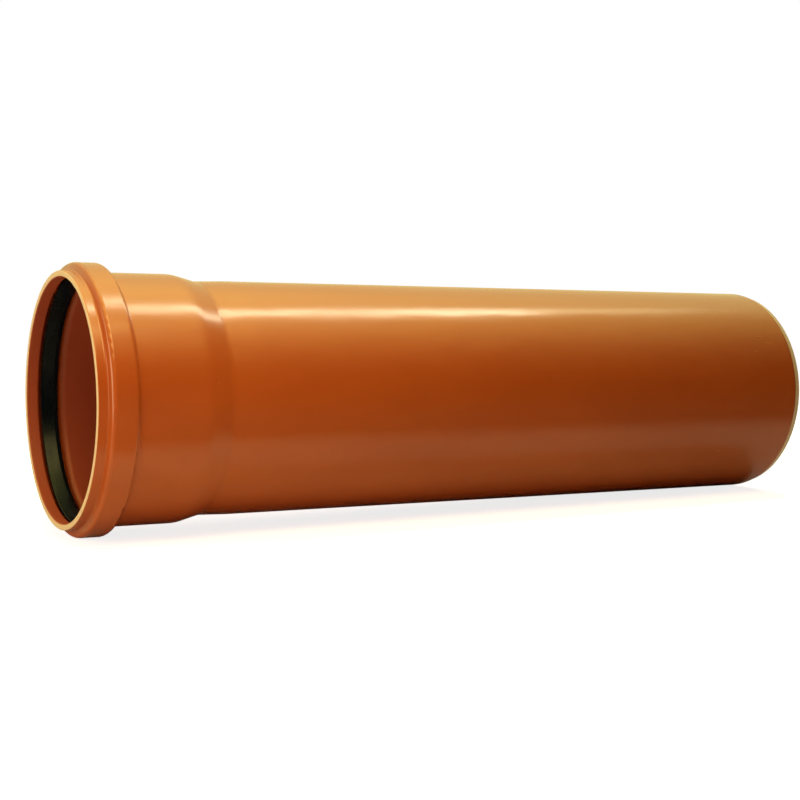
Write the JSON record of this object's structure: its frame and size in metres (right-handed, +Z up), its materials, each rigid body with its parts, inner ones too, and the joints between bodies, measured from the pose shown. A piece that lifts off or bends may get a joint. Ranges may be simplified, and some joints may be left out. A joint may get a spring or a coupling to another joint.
{
  "type": "sewer pipe with socket",
  "caption": "Short length of orange-brown plastic sewer pipe with a formed socket, an outer seal bulge, a rubber lip seal ring and a chamfered spigot.",
  "frame": {"origin": "on the floor, under the centre of the pipe's bounding box as the pipe lies at rest", "axes": "+X along the pipe from its socket to its spigot, within 1.1 degrees because the pipe lies on its bulge; +Z up; +Y to the left when looking from the socket to the spigot"},
  "size_m": [0.576, 0.1802, 0.1804],
  "materials": {
    "pipe_plastic": "orange-brown rigid PVC, smooth and glossy, with faint lines along its length",
    "seal_rubber": "black moulded rubber, dull satin"
  },
  "bodies": {
    "root": {"pipe": "pipe_plastic", "seal_ring": "seal_rubber"}
  },
  "joints": []
}
